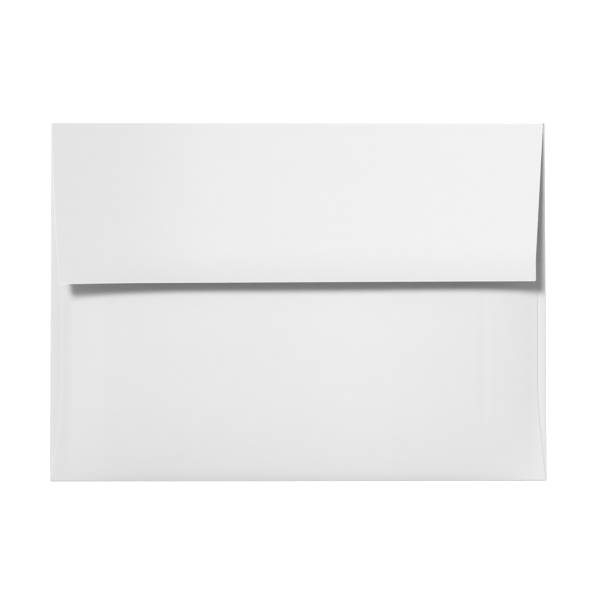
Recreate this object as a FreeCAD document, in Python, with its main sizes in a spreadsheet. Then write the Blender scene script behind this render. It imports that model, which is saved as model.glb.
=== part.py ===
import FreeCAD, Part
import os

import Sketcher

# A square-flap invitation envelope, folded from one sheet of paper.
#
# It lies on its address face with the flap side up. The side flaps fold in first, the back
# panel folds up over them and is glued down along its sides, and the seal flap folds down
# from the top edge (+Y). The seal flap isn't stuck: it springs up from its fold and hangs
# a few millimetres above the back panel, with its free edge curled down a little. The back
# panel bows up between its glued sides, which opens the pocket.
#
# Lengths are millimetres and angles degrees. The origin is the middle of the rectangle that
# the envelope covers, on the surface that it lies on. Left and right are as seen from above
# with the top edge away from the viewer.

SIZES = [
    ("width", 184.15, "across the envelope, from side fold to side fold"),
    ("height", 133.35, "from the bottom fold to the top fold"),
    ("paper", 0.15, "thickness of the sheet"),
    ("fold_gap", 0.25, "space left inside a pressed side fold"),
    ("flap_clearance", 0.1, "room between the side flaps and the seal flap at its fold"),
    ("side_flap_left", 20.8, "width of the left side flap"),
    ("side_flap_right", 24.5, "width of the right side flap"),
    ("side_flap_foot_left", 14.5, "from the bottom edge to where the left one is full width"),
    ("side_flap_foot_right", 18.5, "from the bottom edge to where the right one is full width"),
    ("side_flap_head", 15.0, "from the top edge to where a side flap has its full width"),
    ("side_flap_shoulder", 5.0, "how far in from the side a side flap's end cut turns"),
    ("side_flap_slope", 3.0, "how much a side flap's end cut rises past that turn"),
    ("seam_left", 4.65, "from the left side to the edge of the back panel"),
    ("seam_right", 3.2, "from the right side to the edge of the back panel"),
    ("seam_foot", 0.3, "from either side to the edge of the back panel at the bottom fold"),
    ("flare", 33.0, "height over which the back panel widens towards the bottom fold"),
    ("flare_radius_left", 210.0, "radius of its left edge over that height"),
    ("flare_radius_right", 410.0, "radius of its right edge over that height"),
    ("glue_width", 9.0, "width of the glued strip along each side of the back panel"),
    ("throat", 19.0, "from the top edge down to the mouth of the pocket"),
    ("mouth_corner", 3.0, "corner radius of the back panel at the mouth"),
    ("panel_crest", 49.5, "from the bottom edge to the line where the back panel is highest"),
    ("panel_rise", 2.2, "how far the middle of that line stands above its glued ends"),
    ("mouth_rise", 0.7, "how far the middle of the mouth stands above its glued ends"),
    ("flap_depth", 59.75, "from the top edge to the free edge of the seal flap"),
    ("flap_skew", 0.65, "how much deeper the seal flap is at its left end than at its right"),
    ("flap_root_left", 0.15, "from the left side to the edge of the seal flap at its fold"),
    ("flap_root_right", 0.9, "from the right side to the edge of the seal flap at its fold"),
    ("flap_inset_left", 4.05, "from the left side to the corner of the seal flap"),
    ("flap_inset_right", 4.3, "from the right side to the corner of the seal flap"),
    ("flap_side_radius", 1070.0, "radius of the seal flap's bowed left edge"),
    ("flap_straight", 8.0, "length by the right corner where its edge runs along the side"),
    ("flap_corner", 0.5, "length of edge that each rounded corner of the seal flap takes"),
    ("flap_angle_left", 5.9, "angle at which the left end of the seal flap springs up"),
    ("flap_angle", 6.85, "the same angle in the middle of the seal flap"),
    ("flap_angle_right", 4.9, "the same angle at its right end"),
    ("curl_length", 10.0, "depth of the strip that curls down along the free edge"),
    ("curl_angle", 6.5, "angle through which that strip curls"),
]

# Where the sections of a bowed sheet stand, from its left end to its right, as shares of
# half its width
STATIONS = (-1.0, -0.75, -0.4, 0.0, 0.4, 0.75, 1.0)

# Spare length that a trimming outline or an untrimmed flap has beyond its edge
SPARE = 2.0

# How high a trimming outline stands, well above any part of the sheet
KNIFE_HEIGHT = "Sizes.height / 2"

# Sketch planes: a section across the sheet stands in the YZ plane, an outline lies flat
YZ_PLANE = FreeCAD.Rotation(FreeCAD.Vector(1, 1, 1), 120)
XY_PLANE = FreeCAD.Rotation()

doc = FreeCAD.newDocument("envelope")
sizes = doc.addObject("Spreadsheet::Sheet", "Sizes")
folds = doc.addObject("App::VarSet", "Folds")


def fill_sheet():
    """Writes each driving size into the spreadsheet with its alias and its meaning."""
    for row, (alias, number, meaning) in enumerate(SIZES, start=1):
        sizes.set(f"A{row}", alias)
        sizes.set(f"B{row}", str(number))
        sizes.setAlias(f"B{row}", alias)
        sizes.set(f"C{row}", meaning)
    doc.recompute()


def derive(name, expression, meaning):
    """Adds a size that follows from the sheet, for several features to share."""
    folds.addProperty("App::PropertyFloat", name, "Folds", meaning)
    folds.setExpression(name, expression)


def fill_folds():
    """The outer radius of each fold, and the levels and lines that the layers share."""
    derive("side_outer", "Sizes.paper + Sizes.fold_gap / 2", "outer radius of a side fold")
    derive("bottom_outer", "side_outer + Sizes.paper / 2", "outer radius of the bottom fold")
    derive("top_outer", "bottom_outer + Sizes.flap_clearance / 2", "outer radius of the top fold")
    derive("side_flap_under", "Sizes.paper + Sizes.fold_gap", "underside of the side flaps")
    derive("panel_under", "side_flap_under + Sizes.paper", "underside of the glued back panel")
    derive("panel_top", "panel_under + Sizes.paper", "outer face of the glued back panel")
    derive("flap_top", "2 * top_outer", "outer face of the seal flap at its fold")
    derive("flap_under", "flap_top - Sizes.paper", "inner face of the seal flap at its fold")
    derive("sheet_side", "Sizes.width / 2 - side_outer", "where the side folds begin, in X")
    derive("sheet_foot", "-(Sizes.height / 2 - bottom_outer)", "where the bottom fold begins, in Y")
    derive("sheet_head", "Sizes.height / 2 - top_outer", "where the top fold begins, in Y")
    derive("mouth", "Sizes.height / 2 - Sizes.throat", "the mouth of the pocket, in Y")
    derive("bow_left", "-(Sizes.width / 2 - Sizes.seam_left - Sizes.glue_width)",
           "inner edge of the left glued strip, in X")
    derive("bow_right", "Sizes.width / 2 - Sizes.seam_right - Sizes.glue_width",
           "inner edge of the right glued strip, in X")
    derive("free_edge", "Sizes.height / 2 - Sizes.flap_depth", "middle of the free edge, in Y")
    doc.recompute()


def value(expression):
    """The number that an expression gives now, to draw a sketch where it will stay."""
    return float(sizes.evalExpression(expression))


def bind(feature, **expressions):
    """Binds properties to expressions; x, y and z stand for the placement."""
    for name, expression in expressions.items():
        path = f"Placement.Base.{name}" if name in ("x", "y", "z") else name
        feature.setExpression(path, expression)
    return feature


def arc_through(start, end, radius, centre_on_left):
    """The shorter arc from start to end. Its centre lies to the left of the way there, or
    to the right."""
    way = end - start
    sideways = FreeCAD.Vector(-way.y, way.x, 0).normalize()
    reach = max(radius * radius - way.Length**2 / 4, 0.0) ** 0.5
    centre = (start + end) / 2 + sideways * (reach if centre_on_left else -reach)
    circle = Part.Circle(centre, FreeCAD.Vector(0, 0, 1), radius)
    first, last = (start, end) if centre_on_left else (end, start)
    return Part.ArcOfCircle(circle, circle.parameter(first), circle.parameter(last))


def closed_sketch(name, rotation, corners, arcs=None):
    """A closed sketch through corners, each a pair of expressions that stay bound to it.
    arcs gives the edges that aren't straight: edge number to (radius, centre on left)."""
    arcs = arcs or {}
    sketch = doc.addObject("Sketcher::SketchObject", name)
    sketch.Placement.Rotation = rotation
    points = [FreeCAD.Vector(value(u), value(v), 0) for u, v in corners]
    for n, start in enumerate(points):
        end = points[(n + 1) % len(points)]
        if n in arcs:
            radius, on_left = arcs[n]
            sketch.addGeometry(arc_through(start, end, value(radius), on_left))
        else:
            sketch.addGeometry(Part.LineSegment(start, end))

    def vertex(edge, is_end):
        """Sketcher's number for an edge's end: 1 its first point, 2 its last."""
        reversed_arc = edge in arcs and not arcs[edge][1]
        return 1 if is_end == reversed_arc else 2

    for n, (u, v) in enumerate(corners):
        before = (n - 1) % len(corners)
        sketch.addConstraint(Sketcher.Constraint(
            "Coincident", before, vertex(before, True), n, vertex(n, False)))
        for kind, expression in (("DistanceX", u), ("DistanceY", v)):
            fixed = sketch.addConstraint(Sketcher.Constraint(
                kind, n, vertex(n, False), value(expression)))
            sketch.setExpression(f"Constraints[{fixed}]", expression)
    for n, (radius, _) in arcs.items():
        fixed = sketch.addConstraint(Sketcher.Constraint("Radius", n, value(radius)))
        sketch.setExpression(f"Constraints[{fixed}]", radius)
    return sketch


def prism(name, sketch, height, z="0"):
    """Extrudes an outline upwards from the level z."""
    bind(sketch, z=z)
    solid = doc.addObject("Part::Extrusion", name)
    solid.Base = sketch
    solid.DirMode = "Normal"
    solid.Solid = True
    return bind(solid, LengthFwd=height)


def plate(name, left, right, foot, head, under):
    """A flat rectangle of paper whose underside lies at the level under."""
    sheet = doc.addObject("Part::Box", name)
    return bind(sheet, Length=f"{right} - ({left})", Width=f"{head} - ({foot})",
                Height="Sizes.paper", x=left, y=foot, z=under)


def fold(name, bulge, outer, length, x, y):
    """Half a tube of paper that rises from the front panel and turns back over it. bulge
    is the way that its round side faces, and its axis runs towards +X or +Y."""
    halves = []
    for part, radius in (("outside", outer), ("inside", f"{outer} - Sizes.paper")):
        tube = doc.addObject("Part::Cylinder", f"{name}_{part}")
        tube.Angle = 180
        halves.append(bind(tube, Radius=radius, Height=length))
    half_tube = doc.addObject("Part::Cut", name)
    half_tube.Base, half_tube.Tool = halves
    along = FreeCAD.Vector(abs(bulge.y), abs(bulge.x), 0)
    half_tube.Placement.Rotation = FreeCAD.Rotation(bulge.cross(along), bulge, along, "YZX")
    return bind(half_tube, x=x, y=y, z=outer)


def trimmed(name, sheet, outline):
    """The part of a sheet that lies inside an upright outline."""
    cut = doc.addObject("Part::Common", name)
    cut.Base = sheet
    cut.Tool = outline
    return cut


def lofted(name, sections):
    """A smooth solid through sections."""
    loft = doc.addObject("Part::Loft", name)
    loft.Sections = sections
    loft.Solid = True
    loft.Ruled = False
    return loft


def front_panel():
    """The address face, between the four folds."""
    return plate("front_panel", "-Folds.sheet_side", "Folds.sheet_side",
                 "Folds.sheet_foot", "Folds.sheet_head", "0")


def side_flap(side, sign):
    """A side fold and its flap, inside the pocket. sign is -1 on the left and 1 on the
    right."""
    tube = fold(f"side_fold_{side}", FreeCAD.Vector(sign, 0, 0), "Folds.side_outer",
                "Folds.sheet_head - Folds.sheet_foot", f"{sign} * Folds.sheet_side",
                "Folds.sheet_foot")
    at_fold = f"{sign} * Folds.sheet_side"
    at_shoulder = f"{sign} * (Sizes.width / 2 - Sizes.side_flap_shoulder)"
    at_edge = f"{sign} * (Sizes.width / 2 - Sizes.side_flap_{side})"
    foot = f"-Sizes.height / 2 + Sizes.side_flap_foot_{side}"
    head = "Sizes.height / 2 - Sizes.side_flap_head"
    flap = prism(f"side_flap_{side}", closed_sketch(f"side_flap_{side}_outline", XY_PLANE, [
        (at_fold, "Folds.sheet_foot"),
        (at_shoulder, f"{foot} - Sizes.side_flap_slope"),
        (at_edge, foot),
        (at_edge, head),
        (at_shoulder, f"{head} + Sizes.side_flap_slope"),
        (at_fold, "Folds.sheet_head"),
    ]), "Sizes.paper", z="Folds.side_flap_under")
    return [tube, flap]


def bow_section(number, place):
    """A section of the back panel from the bottom fold over its crest to the mouth: flat
    at the glued strips, and two arcs that meet level at the crest between them."""
    share = 1 - place**4
    crest_rise = f"({share} * Sizes.panel_rise)"
    mouth_rise = f"({share} * Sizes.mouth_rise)"
    drop = f"({crest_rise} - {mouth_rise})"
    crest = "-Sizes.height / 2 + Sizes.panel_crest"
    foot_radius = f"(({crest} - Folds.sheet_foot)^2 + {crest_rise}^2) / (2 * {crest_rise})"
    mouth_radius = f"((Folds.mouth - ({crest}))^2 + {drop}^2) / (2 * {drop})"
    arcs = {
        0: (mouth_radius, True),
        1: (foot_radius, True),
        3: (foot_radius, False),
        4: (mouth_radius, False),
    }
    section = closed_sketch(f"bow_section_{number}", YZ_PLANE, [
        ("Folds.mouth", f"Folds.panel_top + {mouth_rise}"),
        (crest, f"Folds.panel_top + {crest_rise}"),
        ("Folds.sheet_foot", "Folds.panel_top"),
        ("Folds.sheet_foot", "Folds.panel_under"),
        (crest, f"Folds.panel_under + {crest_rise}"),
        ("Folds.mouth", f"Folds.panel_under + {mouth_rise}"),
    ], arcs if share else {})
    middle = "(Folds.bow_left + Folds.bow_right) / 2"
    half = "(Folds.bow_right - Folds.bow_left) / 2"
    return bind(section, x=f"{middle} + {place} * {half}")


def back_panel():
    """The bottom fold and the panel that it carries, cut to the seam lines."""
    tube = fold("bottom_fold", FreeCAD.Vector(0, -1, 0), "Folds.bottom_outer",
                "Sizes.width - 2 * Sizes.seam_foot",
                "-(Sizes.width / 2 - Sizes.seam_foot)", "Folds.sheet_foot")
    strips = [
        plate("glued_strip_left", "-Sizes.width / 2", "Folds.bow_left",
              "Folds.sheet_foot", "Folds.mouth", "Folds.panel_under"),
        plate("glued_strip_right", "Folds.bow_right", "Sizes.width / 2",
              "Folds.sheet_foot", "Folds.mouth", "Folds.panel_under"),
    ]
    bowed = lofted("bowed_panel", [bow_section(n, place) for n, place in enumerate(STATIONS)])
    whole = doc.addObject("Part::MultiFuse", "untrimmed_panel")
    whole.Shapes = [strips[0], bowed, strips[1]]
    left = "-(Sizes.width / 2 - Sizes.seam_left)"
    right = "Sizes.width / 2 - Sizes.seam_right"
    foot = "Sizes.width / 2 - Sizes.seam_foot"
    flare = "-Sizes.height / 2 + Sizes.flare"
    below_corner = "Folds.mouth - Sizes.mouth_corner"
    outline = closed_sketch("back_panel_outline", XY_PLANE, [
        (f"-({foot})", "Folds.sheet_foot"),
        (foot, "Folds.sheet_foot"),
        (right, flare),
        (right, below_corner),
        (f"{right} - Sizes.mouth_corner", "Folds.mouth"),
        (f"{left} + Sizes.mouth_corner", "Folds.mouth"),
        (left, below_corner),
        (left, flare),
    ], {
        1: ("Sizes.flare_radius_right", False),
        3: ("Sizes.mouth_corner", True),
        5: ("Sizes.mouth_corner", True),
        7: ("Sizes.flare_radius_left", False),
    })
    knife = prism("back_panel_knife", outline, KNIFE_HEIGHT)
    return [tube, trimmed("back_panel", whole, knife)]


def flap_section(number, place):
    """A section of the seal flap: it springs straight up from the fold and curls down
    along its free edge, past which it has spare length. Between the middle and an end
    its angle follows a parabola."""
    end_angle = "Sizes.flap_angle_left" if place < 0 else "Sizes.flap_angle_right"
    angle = f"(Sizes.flap_angle + {place**2} * ({end_angle} - Sizes.flap_angle))"
    turn = f"({angle} - Sizes.curl_angle * (1 + {SPARE} / Sizes.curl_length))"
    run = "(Sizes.flap_depth - Sizes.curl_length)"
    radius = "(Sizes.curl_length / (Sizes.curl_angle * pi / 180))"
    crest_y = f"Folds.sheet_head - {run} * cos({angle})"
    crest_z = f"Folds.flap_top + {run} * sin({angle})"
    end_y = f"{crest_y} - {radius} * (sin({angle}) - sin({turn}))"
    end_z = f"{crest_z} + {radius} * (cos({turn}) - cos({angle}))"
    section = closed_sketch(f"flap_section_{number}", YZ_PLANE, [
        ("Folds.sheet_head", "Folds.flap_top"),
        (crest_y, crest_z),
        (end_y, end_z),
        (f"{end_y} - Sizes.paper * sin({turn})", f"{end_z} - Sizes.paper * cos({turn})"),
        (f"{crest_y} - Sizes.paper * sin({angle})", f"{crest_z} - Sizes.paper * cos({angle})"),
        ("Folds.sheet_head", "Folds.flap_under"),
    ], {1: (radius, True), 3: (f"{radius} - Sizes.paper", False)})
    return bind(section, x=f"{place} * Sizes.width / 2")


def seal_flap():
    """The top fold and the flap that it carries, cut to its tapered outline."""
    tube = fold("top_fold", FreeCAD.Vector(0, 1, 0), "Folds.top_outer",
                "Sizes.width - Sizes.flap_root_left - Sizes.flap_root_right",
                "-(Sizes.width / 2 - Sizes.flap_root_left)", "Folds.sheet_head")
    whole = lofted("untrimmed_flap", [flap_section(n, place) for n, place in enumerate(STATIONS)])
    root_left = "-(Sizes.width / 2 - Sizes.flap_root_left)"
    root_right = "Sizes.width / 2 - Sizes.flap_root_right"
    corner_left = "-(Sizes.width / 2 - Sizes.flap_inset_left)"
    corner_right = "Sizes.width / 2 - Sizes.flap_inset_right"
    deep = "Folds.free_edge - Sizes.flap_skew / 2"
    shallow = "Folds.free_edge + Sizes.flap_skew / 2"
    above = f"Folds.sheet_head + {SPARE}"
    taper = "atan((Sizes.flap_inset_left - Sizes.flap_root_left) / Sizes.flap_depth)"
    outline = closed_sketch("seal_flap_outline", XY_PLANE, [
        (root_left, above),
        (root_left, "Folds.sheet_head"),
        (f"{corner_left} - Sizes.flap_corner * sin({taper})",
         f"{deep} + Sizes.flap_corner * cos({taper})"),
        (f"{corner_left} + Sizes.flap_corner", deep),
        (f"{corner_right} - Sizes.flap_corner", shallow),
        (corner_right, f"{shallow} + Sizes.flap_corner"),
        (corner_right, f"{shallow} + Sizes.flap_straight"),
        (root_right, "Folds.sheet_head"),
        (root_right, above),
    ], {
        1: ("Sizes.flap_side_radius", True),
        2: (f"Sizes.flap_corner * tan((90 deg + {taper}) / 2)", True),
        4: ("Sizes.flap_corner", True),
    })
    knife = prism("seal_flap_knife", outline, KNIFE_HEIGHT)
    return [tube, trimmed("seal_flap", whole, knife)]


def envelope():
    """The folded and glued sheet, as one solid."""
    sheet = doc.addObject("Part::MultiFuse", "envelope")
    sheet.Label = "envelope"
    sheet.Shapes = [
        front_panel(),
        *side_flap("left", -1),
        *side_flap("right", 1),
        *back_panel(),
        *seal_flap(),
    ]
    sheet.Refine = True
    return sheet


def check(part):
    """Stops if any feature failed, or if the part isn't one valid closed solid."""
    failed = [o.Name for o in doc.Objects if {"Invalid", "Error"} & set(o.State)]
    if failed:
        raise RuntimeError(f"these features failed: {failed}")
    shape = part.Shape
    if shape.isNull() or not shape.isValid() or len(shape.Solids) != 1:
        raise RuntimeError(f"{part.Label} is not one valid solid")


fill_sheet()
fill_folds()
paper_envelope = envelope()
doc.recompute()
check(paper_envelope)
os.makedirs("parts", exist_ok=True)
paper_envelope.Shape.exportStep(f"parts/{paper_envelope.Label}.step")
solid = paper_envelope.Shape.Solids[0]
box = solid.BoundBox
print(f"{paper_envelope.Label}: {box.XLength:.3f} x {box.YLength:.3f} x {box.ZLength:.3f} mm,"
      f" {solid.Volume:.1f} mm3, {len(solid.Faces)} faces")
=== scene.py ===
import math

import bpy
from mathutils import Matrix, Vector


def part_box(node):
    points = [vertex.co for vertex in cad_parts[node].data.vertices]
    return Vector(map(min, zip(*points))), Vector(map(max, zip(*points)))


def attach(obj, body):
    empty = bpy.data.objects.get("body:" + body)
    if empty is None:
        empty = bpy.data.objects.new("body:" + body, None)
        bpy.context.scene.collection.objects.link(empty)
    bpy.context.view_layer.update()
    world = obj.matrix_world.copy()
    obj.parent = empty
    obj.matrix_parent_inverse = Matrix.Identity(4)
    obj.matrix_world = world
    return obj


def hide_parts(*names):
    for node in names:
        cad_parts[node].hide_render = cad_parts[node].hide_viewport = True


# A square-flap invitation envelope, folded from one sheet of white paper. It lies on its
# address face on a pale floor, under a soft light from the upper left.
#
# Lengths are metres. The sheet is modelled by its outer face, which is the underside of the
# front panel and the top of everything that folds over it, and then gets its thickness.
# Where the two sides differ, -1 stands for the left one and 1 for the right one.

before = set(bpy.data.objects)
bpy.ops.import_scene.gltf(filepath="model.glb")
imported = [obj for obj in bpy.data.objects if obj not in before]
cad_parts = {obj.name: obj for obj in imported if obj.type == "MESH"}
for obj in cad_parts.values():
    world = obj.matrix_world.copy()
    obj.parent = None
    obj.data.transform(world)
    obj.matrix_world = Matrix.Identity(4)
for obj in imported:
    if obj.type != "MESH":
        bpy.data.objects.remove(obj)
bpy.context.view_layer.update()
MM = 0.001
ROUNDING = 0.001 * MM

# The paper, the gap inside a side fold, how much higher the seal flap starts than the back
# panel, and the glue between a side flap and the back panel
PAPER = 0.15 * MM
FOLD_GAP = 0.25 * MM
FLAP_CLEARANCE = 0.1 * MM
GLUE_LINE = 0.015 * MM

# What the envelope covers, from its part in model.glb
WIDTH, HEIGHT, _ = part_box("envelope")[1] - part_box("envelope")[0]

# Outer radii of the folds, and where each fold begins
SIDE_RADIUS = PAPER + FOLD_GAP / 2
BOTTOM_RADIUS = SIDE_RADIUS + PAPER / 2
TOP_RADIUS = BOTTOM_RADIUS + FLAP_CLEARANCE / 2
SIDE = WIDTH / 2 - SIDE_RADIUS
FOOT = BOTTOM_RADIUS - HEIGHT / 2
HEAD = HEIGHT / 2 - TOP_RADIUS

# Levels of the outer face on the layers that are folded over
SIDE_FLAP_LEVEL = 2 * SIDE_RADIUS - GLUE_LINE
PANEL_LEVEL = 2 * BOTTOM_RADIUS
FLAP_LEVEL = 2 * TOP_RADIUS

# The mesh: steps around a fold, spacing on the flat, and a finer spacing on the back panel up
# to FOOT_REACH from the bottom fold. The columns within EASE of a side edge follow its slant.
FOLD_STEPS = 10
SPACING = 2.0 * MM
FINE_SPACING = 0.5 * MM
FOOT_REACH = 4.0 * MM
EASE = 12.0 * MM
SMOOTH_ANGLE = math.radians(40)

# Side flaps: how wide they are, and how far their ends stand off from the bottom and the top.
# An end is cut steeply from the fold to the shoulder, and slants a little from there on.
SIDE_FLAP = {-1: 20.8 * MM, 1: 24.5 * MM}
SIDE_FLAP_FOOT = {-1: 14.5 * MM, 1: 18.5 * MM}
SIDE_FLAP_HEAD = 15.0 * MM
SIDE_FLAP_SHOULDER = 5.0 * MM
SIDE_FLAP_SLOPE = 3.0 * MM

# Outline of the back panel: the throat over its mouth, and its seams, which flare out from
# SEAM at the height FLARE to SEAM_FOOT at the bottom fold
THROAT = 19.0 * MM
MOUTH = HEIGHT / 2 - THROAT
MOUTH_CORNER = 3.0 * MM
SEAM_FOOT = 0.3 * MM
SEAM = {-1: 4.65 * MM, 1: 3.2 * MM}
FLARE = 33.0 * MM
FLARE_RADIUS = {-1: 210.0 * MM, 1: 410.0 * MM}

# Bow of the back panel: it is flat where it is glued, and springs up from the bottom fold to
# its crest, from where it comes down again to the mouth. The powers say how evenly it bends.
GLUE_WIDTH = {-1: 3.0 * MM, 1: 0.5 * MM}
BOW_POWER = {-1: 4, 1: 6}
PANEL_CREST = 49.5 * MM
PANEL_RISE = 2.5 * MM
FOOT_POWER = 3
FOOT_SPRING = 0.35 * MM
FOOT_ROLL = 1.6 * MM
MOUTH_POWER = 1.4
MOUTH_RISE = 0.3 * MM

# The edges of the side flaps press through the back panel: a soft ridge at the left and a
# soft groove at the right, each a little inside the edge, with finer columns in the mesh
EMBOSS = {-1: 0.07 * MM, 1: -0.07 * MM}
EMBOSS_PLACE = {-1: 0.5 * MM, 1: 1.4 * MM}
EMBOSS_WIDTH = 1.7 * MM
EMBOSS_SPACING = EMBOSS_WIDTH / 4
EMBOSS_REACH = 6

# Outline of the seal flap: it is deeper at the left, where its end also droops from
# DROOP_START outwards. Its sides come in from FLAP_ROOT at the fold to FLAP_INSET at the free
# edge, the left one in an arc, the right one in a line that ends in a straight stretch.
FLAP_DEPTH = 59.95 * MM
FREE_EDGE = HEIGHT / 2 - FLAP_DEPTH
FLAP_SKEW = 0.9 * MM
FLAP_DROOP = 0.22 * MM
DROOP_START = 55.0 * MM
FLAP_ROOT = {-1: 0.15 * MM, 1: 0.72 * MM}
FLAP_INSET = {-1: 4.05 * MM, 1: 4.25 * MM}
FLAP_SIDE_RADIUS = 1070.0 * MM
FLAP_STRAIGHT = 8.0 * MM
FLAP_CORNER = 0.5 * MM
CORNER_SEGMENTS = 4
CORNER_REACH = 0.1 * MM

# Lift of the seal flap, in the middle and at its ends, and the curl along its free edge,
# which fades out over CURL_START at the left
FLAP_ANGLE = math.radians(6.85)
FLAP_ANGLE_END = {-1: math.radians(5.65), 1: math.radians(5.8)}
CURL_LENGTH = 12.0 * MM
CURL_ANGLE = math.radians(7.5)
CURL_START = 60.0 * MM

# The rim of the seal flap, which carries a painted highlight, and the gum band on its inside
EDGE_RIM = 0.5 * MM
GUM_WIDTH = 16.0 * MM
GUM_MARGIN = 4.0 * MM

# Painted light on the paper, as factors on its colour: the back panel is a little darker than
# the front panel, painted shade darkens the seal flap and changes the brightness towards a
# side, and a painted highlight runs along the flap's cut edges
PAINTED_LIGHT_LAYER = "tone"
FLAP_SHADE = 0.965
PANEL_TONE = 0.99
RIM_HIGHLIGHT = 1.18
FLAP_SIDE_SHADE = {-1: 0.957, 1: 1.0}
PANEL_SIDE_SHADE = {-1: 0.98, 1: 0.96}
SIDE_SHADE_START = {-1: 30.0 * MM, 1: 15.0 * MM}
SIDE_SHADE_END = {-1: 68.0 * MM, 1: 65.0 * MM}

# Finishes of the sheet, in the order of its material slots
OUTER_FACE = {"tone": 0.77, "roughness": 0.62, "tooth": 0.35}
INNER_FACE = {"tone": 0.77, "roughness": 0.66, "tooth": 0.4}
CUT_EDGE = {"tone": 0.86, "roughness": 0.8, "tooth": 0.6}
GUM = {"tone": 0.74, "roughness": 0.3, "tooth": 0.1}
INNER_SLOT = 1
CUT_SLOT = 2
GUM_SLOT = 3

# Surface of the paper: faint clouds in its colour, and a fine tooth of fibres
CLOUDS = {"scale": 180.0, "detail": 4.0, "roughness": 0.55}
CLOUD_RANGE = (0.3, 0.7)
CLOUD_CONTRAST = 0.007
FIBRES = {"scale": 2600.0, "detail": 6.0, "roughness": 0.6}
ROUGHNESS_SWING = 0.06
TOOTH_DEPTH = 0.02 * MM
PAPER_GLOSS = 0.25

# The camera looks down, a little from the bottom edge and from the left
CAMERA_TARGET = (0.679 * MM, 0.469 * MM, 0.0)
CAMERA_DISTANCE = 0.9
CAMERA_TILT = math.radians(2.5448)
CAMERA_YAW = math.radians(-0.6428)
CAMERA_ROLL = math.radians(-0.0475)
CAMERA_LENS = 145.3

# The floor, which glows a little so that it stays white around the envelope
WHITE = (1.0, 1.0, 1.0, 1.0)
FLOOR_SIZE = 12.0
FLOOR_COLOUR = (0.95, 0.95, 0.95, 1.0)
FLOOR_ROUGHNESS = 0.9
FLOOR_GLOSS = 0.1
FLOOR_GLOW = 0.5

# The light: a soft key from the upper left under an even sky. The middle of its narrow beam
# falls beyond the lower right of the envelope, so the upper left gets less of it.
KEY_DISTANCE = 2.4
KEY_AZIMUTH = math.radians(43.5)
KEY_ELEVATION = math.radians(42.5)
KEY_SIZE = 0.95
KEY_SPREAD = math.radians(34)
KEY_AIM = (0.34, -0.17, 0.0)
KEY_POWER = 4.13
SKY_STRENGTH = 0.33


def at(number, target):
    """True if a coordinate is the same as a target, apart from rounding."""
    return abs(number - target) < ROUNDING


def side_of(x):
    """-1 on the left half and 1 on the right."""
    return -1 if x < 0 else 1


def smooth(share):
    """An even rise from 0 to 1, level at both ends."""
    share = min(max(share, 0.0), 1.0)
    return share * share * (3 - 2 * share)


def arc_inset(height, low, high, radius, bulges_out):
    """Inset at a height on the arc that joins low and high, both (inset, height)."""
    chord = math.hypot(high[0] - low[0], high[1] - low[1])
    reach = math.sqrt(radius**2 - chord**2 / 4)
    sign = 1 if bulges_out else -1
    centre_inset = (low[0] + high[0]) / 2 + sign * reach * (high[1] - low[1]) / chord
    centre_height = (low[1] + high[1]) / 2 - sign * reach * (high[0] - low[0]) / chord
    return centre_inset - sign * math.sqrt(radius**2 - (height - centre_height)**2)


def panel_inset(side, y):
    """From the fold's side line in to the seam: it flares out towards the bottom fold and
    is rounded at the mouth."""
    height = y + HEIGHT / 2
    if height < FLARE:
        low = (SEAM_FOOT, FOOT + HEIGHT / 2)
        inset = arc_inset(height, low, (SEAM[side], FLARE), FLARE_RADIUS[side], False)
    else:
        inset = SEAM[side]
    past = MOUTH_CORNER - (MOUTH - y)
    if past > 0:
        inset += MOUTH_CORNER - math.sqrt(max(MOUTH_CORNER**2 - past**2, 0.0))
    return inset - SIDE_RADIUS


def free_edge(x):
    """The free edge of the seal flap: a little deeper at the left, where its end droops."""
    droop = FLAP_DROOP * smooth((-x - DROOP_START) / (SIDE - DROOP_START))
    return FREE_EDGE + FLAP_SKEW / 2 * x / SIDE - droop


def flap_inset(side, y):
    """From the fold's side line in to the edge of the seal flap."""
    corner = free_edge(side * SIDE)
    if side < 0:
        low, high = (FLAP_ROOT[side], -HEAD), (FLAP_INSET[side], -corner)
        return arc_inset(-y, low, high, FLAP_SIDE_RADIUS, True) - SIDE_RADIUS
    share = min((HEAD - y) / (HEAD - corner - FLAP_STRAIGHT), 1.0)
    return FLAP_ROOT[side] + share * (FLAP_INSET[side] - FLAP_ROOT[side]) - SIDE_RADIUS


def drawn_in(x, inset):
    """Moves a column of the mesh inwards: all of the inset at the side, none past EASE."""
    reach = SIDE - abs(x)
    return x - side_of(x) * inset * max(0.0, 1 - reach / EASE)


def side_flap_inside(side, x, y):
    """How far a point lies inside the outline of a side flap; negative outside it."""
    from_side = WIDTH / 2 - side * x
    slope = SIDE_FLAP_SLOPE * (1 - from_side / SIDE_FLAP[side])
    from_foot = y + HEIGHT / 2 - SIDE_FLAP_FOOT[side] + slope
    from_head = HEIGHT / 2 - SIDE_FLAP_HEAD + slope - y
    return min(SIDE_FLAP[side] - from_side, from_foot, from_head)


def panel_height(x, y):
    """How high the back panel's outer face stands over its glued level."""
    side = side_of(x)
    bow_left = -(WIDTH / 2 - SEAM[-1] - GLUE_WIDTH[-1])
    bow_right = WIDTH / 2 - SEAM[1] - GLUE_WIDTH[1]
    place = (2 * x - bow_left - bow_right) / (bow_right - bow_left)
    across = max(0.0, 1 - abs(place)**BOW_POWER[side_of(place)])
    crest = PANEL_CREST - HEIGHT / 2
    if y < crest:
        share = (crest - y) / (crest - FOOT)
        spring = FOOT_SPRING * (1 - math.exp((FOOT - y) / FOOT_ROLL))
        along = spring + (PANEL_RISE - FOOT_SPRING) * (1 - share**FOOT_POWER)
    else:
        share = (y - crest) / (MOUTH - crest)
        along = PANEL_RISE - (PANEL_RISE - MOUTH_RISE) * share**MOUTH_POWER
    from_crest = (side_flap_inside(side, x, y) - EMBOSS_PLACE[side]) / EMBOSS_WIDTH
    return across * (along + EMBOSS[side] * math.exp(-from_crest**2))


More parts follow.
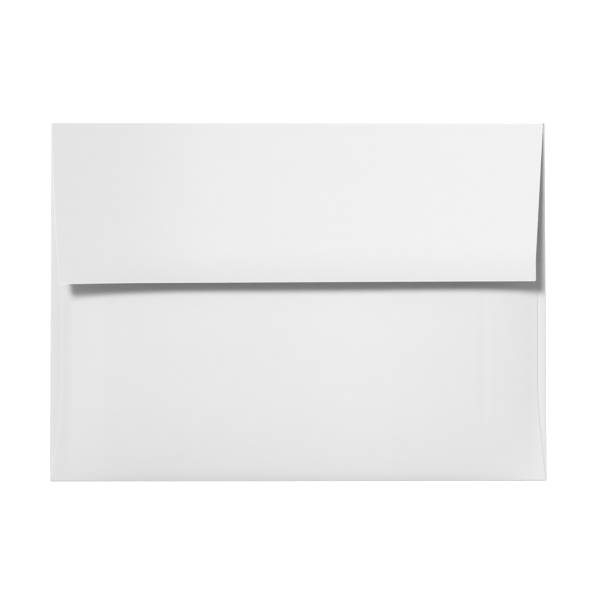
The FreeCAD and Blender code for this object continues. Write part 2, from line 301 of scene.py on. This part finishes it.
def flap_height(x, y):
    """How high the seal flap's outer face stands over its level at the fold."""
    side = side_of(x)
    angle = FLAP_ANGLE + (x / (WIDTH / 2))**2 * (FLAP_ANGLE_END[side] - FLAP_ANGLE)
    from_fold = HEAD - y
    height = from_fold * math.tan(angle)
    past = from_fold - (HEAD - free_edge(x) - CURL_LENGTH)
    if past > 0:
        share = smooth((x + SIDE) / CURL_START)
        height -= share * math.tan(CURL_ANGLE) * past**2 / (2 * CURL_LENGTH)
    return height


def side_shade(x, at_side):
    """Painted shade that changes the colour from 1 to at_side towards a side edge."""
    side = side_of(x)
    start, end = SIDE_SHADE_START[side], SIDE_SHADE_END[side]
    return 1 + smooth((abs(x) - start) / (end - start)) * (at_side[side] - 1)


def panel_shade(x, _y):
    """The colour factor of the back panel and of the side flaps beside it, with painted shade
    towards the sides.
    """
    return PANEL_TONE * side_shade(x, PANEL_SIDE_SHADE)


def flap_shade_and_highlight(x, y):
    """The colour factor of the seal flap: painted shade over it, and a painted highlight along
    its cut edges.
    """
    from_side = SIDE - flap_inset(side_of(x), y) - abs(x)
    on_edge = min(from_side, y - free_edge(x)) < EDGE_RIM / 2
    return FLAP_SHADE * side_shade(x, FLAP_SIDE_SHADE) * (RIM_HIGHLIGHT if on_edge else 1)


def pick(piece, wanted):
    """Selects the vertices of a piece in edit mode whose places are wanted."""
    bpy.ops.object.mode_set(mode="EDIT")
    bpy.ops.mesh.select_mode(type="VERT")
    bpy.ops.mesh.select_all(action="DESELECT")
    bpy.ops.object.mode_set(mode="OBJECT")
    for vertex in piece.data.vertices:
        vertex.select = wanted(vertex.co)
    bpy.ops.object.mode_set(mode="EDIT")


def fold_edge(piece, on_edge, centre, axis):
    """Folds an edge of the front panel half a turn over it, and leaves its end selected."""
    pick(piece, on_edge)
    bpy.ops.mesh.spin(steps=FOLD_STEPS, angle=math.pi, center=centre, axis=axis)


def extrude_rows(start, end, along_y, spacing=SPACING):
    """Extrudes the selected edge from start to end in even rows."""
    rows = max(1, round(abs(end - start) / spacing))
    step = (end - start) / rows
    move = (0, step, 0) if along_y else (step, 0, 0)
    for _ in range(rows):
        bpy.ops.mesh.extrude_region_move(TRANSFORM_OT_translate={"value": move})


def reshape(piece, level, place_of, painted_light_of):
    """Moves each vertex of the layer at a level to its place, and gives it its painted light
    and shade.
    """
    bpy.ops.object.mode_set(mode="OBJECT")
    painted_light = piece.data.attributes[PAINTED_LIGHT_LAYER].data
    for vertex in piece.data.vertices:
        if at(vertex.co.z, level):
            vertex.co = place_of(vertex.co.x, vertex.co.y)
            painted_light[vertex.index].value = painted_light_of(vertex.co.x, vertex.co.y)
    bpy.ops.object.mode_set(mode="EDIT")


def cut_columns(piece, level, places):
    """Adds a column to a layer at each place in X."""
    for x in places:
        pick(piece, lambda co: at(co.z, level))
        bpy.ops.mesh.bisect(plane_co=(x, 0, 0), plane_no=(1, 0, 0))


def front_panel():
    """The address face, as a grid."""
    bpy.ops.mesh.primitive_grid_add(
        x_subdivisions=round(2 * SIDE / SPACING),
        y_subdivisions=round((HEAD - FOOT) / SPACING),
        size=1,
        location=(0, (FOOT + HEAD) / 2, 0),
    )
    piece = bpy.context.object
    piece.name = piece.data.name = "folded_sheet"
    piece.scale = (2 * SIDE, HEAD - FOOT, 1)
    bpy.ops.object.transform_apply(location=True, rotation=True, scale=True)
    # A layer of painted light and shade on the sheet, even at first
    painted_light = piece.data.attributes.new(PAINTED_LIGHT_LAYER, "FLOAT", "POINT")
    painted_light.data.foreach_set("value", [1.0] * len(piece.data.vertices))
    return piece


def side_flaps(piece):
    """Both side folds and their flaps, which end in slanted cuts."""
    radius = SIDE_RADIUS - GLUE_LINE / 2
    for side in (-1, 1):
        fold_edge(piece, lambda co: at(co.x, side * SIDE) and at(co.z, 0),
                  (side * SIDE, 0, radius), (0, side, 0))
        extrude_rows(side * SIDE, side * (WIDTH / 2 - SIDE_FLAP[side]), along_y=False)

    def place_of(x, y):
        side = side_of(x)
        from_side = WIDTH / 2 - side * x
        foot_end = SIDE_FLAP_FOOT[side] - HEIGHT / 2
        head_end = HEIGHT / 2 - SIDE_FLAP_HEAD
        if from_side < SIDE_FLAP_SHOULDER:
            share = (from_side - SIDE_RADIUS) / (SIDE_FLAP_SHOULDER - SIDE_RADIUS)
            foot = FOOT + share * (foot_end - SIDE_FLAP_SLOPE - FOOT)
            head = HEAD + share * (head_end + SIDE_FLAP_SLOPE - HEAD)
        else:
            share = (SIDE_FLAP[side] - from_side) / (SIDE_FLAP[side] - SIDE_FLAP_SHOULDER)
            foot = foot_end - share * SIDE_FLAP_SLOPE
            head = head_end + share * SIDE_FLAP_SLOPE
        return x, foot + (y - FOOT) / (HEAD - FOOT) * (head - foot), SIDE_FLAP_LEVEL

    reshape(piece, SIDE_FLAP_LEVEL, place_of, panel_shade)


def seal_flap(piece):
    """The top fold and the flap that springs up from it."""
    fold_edge(piece, lambda co: at(co.y, HEAD) and at(co.z, 0),
              (0, HEAD, TOP_RADIUS), (-1, 0, 0))
    extrude_rows(HEAD, FREE_EDGE + EDGE_RIM, along_y=True)
    extrude_rows(FREE_EDGE + EDGE_RIM, FREE_EDGE, along_y=True)
    cut_columns(piece, FLAP_LEVEL, [EDGE_RIM - SIDE, SIDE - EDGE_RIM])

    def place_of(x, y):
        share = (HEAD - y) / (HEAD - FREE_EDGE)
        y = HEAD - share * (HEAD - free_edge(x))
        x = drawn_in(x, flap_inset(side_of(x), y))
        return x, y, FLAP_LEVEL + flap_height(x, y)

    reshape(piece, FLAP_LEVEL, place_of, flap_shade_and_highlight)


def round_flap_corners(piece):
    """Takes the points off the two free corners of the seal flap."""
    for side in (-1, 1):
        x, y = side * (WIDTH / 2 - FLAP_INSET[side]), free_edge(side * SIDE)
        pick(piece, lambda co: (math.hypot(co.x - x, co.y - y) < CORNER_REACH
                                and co.z > FLAP_LEVEL))
        bpy.ops.mesh.bevel(offset=FLAP_CORNER, segments=CORNER_SEGMENTS, affect="VERTICES")


def back_panel(piece):
    """The bottom fold and the panel that it carries up to the mouth of the pocket. It comes
    after the seal flap, because some of its bowed vertices reach that flap's level."""
    fold_edge(piece, lambda co: at(co.y, FOOT) and at(co.z, 0),
              (0, FOOT, BOTTOM_RADIUS), (1, 0, 0))
    extrude_rows(FOOT, FOOT + FOOT_REACH, along_y=True, spacing=FINE_SPACING)
    extrude_rows(FOOT + FOOT_REACH, MOUTH, along_y=True)
    for side in (-1, 1):
        crest = side * (WIDTH / 2 - SIDE_FLAP[side] + EMBOSS_PLACE[side])
        steps = range(-EMBOSS_REACH, EMBOSS_REACH + 1)
        cut_columns(piece, PANEL_LEVEL, [crest + EMBOSS_SPACING * step for step in steps])

    def place_of(x, y):
        x = drawn_in(x, panel_inset(side_of(x), y))
        return x, y, PANEL_LEVEL + panel_height(x, y)

    reshape(piece, PANEL_LEVEL, place_of, panel_shade)


def face_outwards(piece):
    """Merges doubled vertices and turns every face of the sheet outwards."""
    bpy.ops.mesh.select_all(action="SELECT")
    bpy.ops.mesh.remove_doubles(threshold=ROUNDING)
    bpy.ops.mesh.normals_make_consistent(inside=False)
    bpy.ops.object.mode_set(mode="OBJECT")
    lowest = min(piece.data.polygons, key=lambda face: face.center.z)
    if lowest.normal.z > 0:
        piece.data.flip_normals()


def noise_texture(nodes, scale, detail, roughness):
    """A noise node with its pattern set."""
    texture = nodes.new("ShaderNodeTexNoise")
    texture.inputs["Scale"].default_value = scale
    texture.inputs["Detail"].default_value = detail
    texture.inputs["Roughness"].default_value = roughness
    return texture


def paper_material(name, tone, roughness, tooth):
    """Smooth wove paper: cloudy fibre formation, fine tooth and a dull surface."""
    material = bpy.data.materials.new(name)
    material.use_nodes = True
    nodes, links = material.node_tree.nodes, material.node_tree.links
    shader = nodes["Principled BSDF"]
    place = nodes.new("ShaderNodeTexCoord")
    clouds = noise_texture(nodes, **CLOUDS)
    fibres = noise_texture(nodes, **FIBRES)
    links.new(place.outputs["Object"], clouds.inputs["Vector"])
    links.new(place.outputs["Object"], fibres.inputs["Vector"])
    cloudy = nodes.new("ShaderNodeMapRange")
    cloudy.inputs["From Min"].default_value = CLOUD_RANGE[0]
    cloudy.inputs["From Max"].default_value = CLOUD_RANGE[1]
    cloudy.inputs["To Min"].default_value = tone * (1 - CLOUD_CONTRAST)
    cloudy.inputs["To Max"].default_value = tone * (1 + CLOUD_CONTRAST)
    links.new(clouds.outputs["Fac"], cloudy.inputs["Value"])
    # Painted light and shade, read from the sheet's layer, multiply the paper's colour
    painted_light_node = nodes.new("ShaderNodeAttribute")
    painted_light_node.attribute_name = PAINTED_LIGHT_LAYER
    colour = nodes.new("ShaderNodeMath")
    colour.operation = "MULTIPLY"
    links.new(cloudy.outputs["Result"], colour.inputs[0])
    links.new(painted_light_node.outputs["Fac"], colour.inputs[1])
    links.new(colour.outputs["Value"], shader.inputs["Base Color"])
    finish = nodes.new("ShaderNodeMapRange")
    finish.inputs["To Min"].default_value = roughness - ROUGHNESS_SWING
    finish.inputs["To Max"].default_value = roughness + ROUGHNESS_SWING
    links.new(fibres.outputs["Fac"], finish.inputs["Value"])
    links.new(finish.outputs["Result"], shader.inputs["Roughness"])
    bump = nodes.new("ShaderNodeBump")
    bump.inputs["Strength"].default_value = tooth
    bump.inputs["Distance"].default_value = TOOTH_DEPTH
    links.new(fibres.outputs["Fac"], bump.inputs["Height"])
    links.new(bump.outputs["Normal"], shader.inputs["Normal"])
    shader.inputs["Specular IOR Level"].default_value = PAPER_GLOSS
    return material


def in_gum_band(face):
    """True for the inner faces of the seal flap that carry its gum."""
    x, y, z = face.center
    from_edge = y - free_edge(x) - GUM_MARGIN
    from_side = SIDE - flap_inset(side_of(x), y) - abs(x) - GUM_MARGIN
    over_panel = PANEL_LEVEL + PANEL_RISE
    return face.normal.z < 0 and z > over_panel and 0 < from_edge < GUM_WIDTH and from_side > 0


def thicken(piece):
    """Gives the sheet its thickness inwards, and a finish for its outside, its inside, its
    cut edges and the gum."""
    piece.data.materials.append(paper_material("white_wove_paper", **OUTER_FACE))
    piece.data.materials.append(paper_material("paper_inside", **INNER_FACE))
    piece.data.materials.append(paper_material("cut_edge", **CUT_EDGE))
    wall = piece.modifiers.new("paper", "SOLIDIFY")
    wall.thickness = PAPER
    wall.offset = -1
    wall.use_even_offset = True
    wall.material_offset = INNER_SLOT
    wall.material_offset_rim = CUT_SLOT
    bpy.ops.object.modifier_apply(modifier=wall.name)
    piece.data.materials.append(paper_material("gum", **GUM))
    for face in piece.data.polygons:
        if in_gum_band(face):
            face.material_index = GUM_SLOT


def envelope():
    """The whole sheet: panels and flaps, then its thickness and its finish."""
    piece = front_panel()
    side_flaps(piece)
    seal_flap(piece)
    round_flap_corners(piece)
    back_panel(piece)
    face_outwards(piece)
    thicken(piece)
    bpy.ops.object.shade_smooth_by_angle(angle=SMOOTH_ANGLE)
    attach(piece, "root")
    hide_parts("envelope")


def floor_material():
    """A plain pale floor."""
    material = bpy.data.materials.new("pale_floor")
    material.use_nodes = True
    shader = material.node_tree.nodes["Principled BSDF"]
    shader.inputs["Base Color"].default_value = FLOOR_COLOUR
    shader.inputs["Roughness"].default_value = FLOOR_ROUGHNESS
    shader.inputs["Specular IOR Level"].default_value = FLOOR_GLOSS
    shader.inputs["Emission Color"].default_value = WHITE
    shader.inputs["Emission Strength"].default_value = FLOOR_GLOW
    return material


def floor():
    """The floor that the envelope lies on."""
    bpy.ops.mesh.primitive_plane_add(size=FLOOR_SIZE)
    ground = bpy.context.object
    ground.name = "floor"
    ground.data.materials.append(floor_material())


def away(target, distance, towards):
    """The place at a distance from a target in a direction."""
    return [start + distance * share for start, share in zip(target, towards)]


def camera():
    """The camera at the viewing angle of the picture."""
    towards = (math.sin(CAMERA_YAW),
               -math.sin(CAMERA_TILT) * math.cos(CAMERA_YAW),
               math.cos(CAMERA_TILT) * math.cos(CAMERA_YAW))
    bpy.ops.object.camera_add(
        location=away(CAMERA_TARGET, CAMERA_DISTANCE, towards),
        rotation=(CAMERA_TILT, CAMERA_YAW, CAMERA_ROLL),
    )
    bpy.context.object.data.lens = CAMERA_LENS
    bpy.context.scene.camera = bpy.context.object


def key_light():
    """A square soft light that faces the point KEY_AIM. Its azimuth turns from +Y to -X."""
    towards = (-math.sin(KEY_AZIMUTH) * math.cos(KEY_ELEVATION),
               math.cos(KEY_AZIMUTH) * math.cos(KEY_ELEVATION),
               math.sin(KEY_ELEVATION))
    bpy.ops.object.light_add(
        type="AREA",
        location=away(KEY_AIM, KEY_DISTANCE, towards),
        rotation=(KEY_ELEVATION - math.pi / 2, 0, KEY_AZIMUTH),
    )
    light = bpy.context.object
    light.name = "key"
    light.data.shape = "SQUARE"
    light.data.size = KEY_SIZE
    light.data.energy = KEY_POWER
    light.data.spread = KEY_SPREAD


def sky():
    """An even white sky, and plain colours in the picture."""
    world = bpy.data.worlds.new("even_sky")
    world.use_nodes = True
    background = world.node_tree.nodes["Background"]
    background.inputs["Color"].default_value = WHITE
    background.inputs["Strength"].default_value = SKY_STRENGTH
    bpy.context.scene.world = world
    bpy.context.scene.view_settings.view_transform = "Standard"


envelope()
floor()
camera()
key_light()
sky()
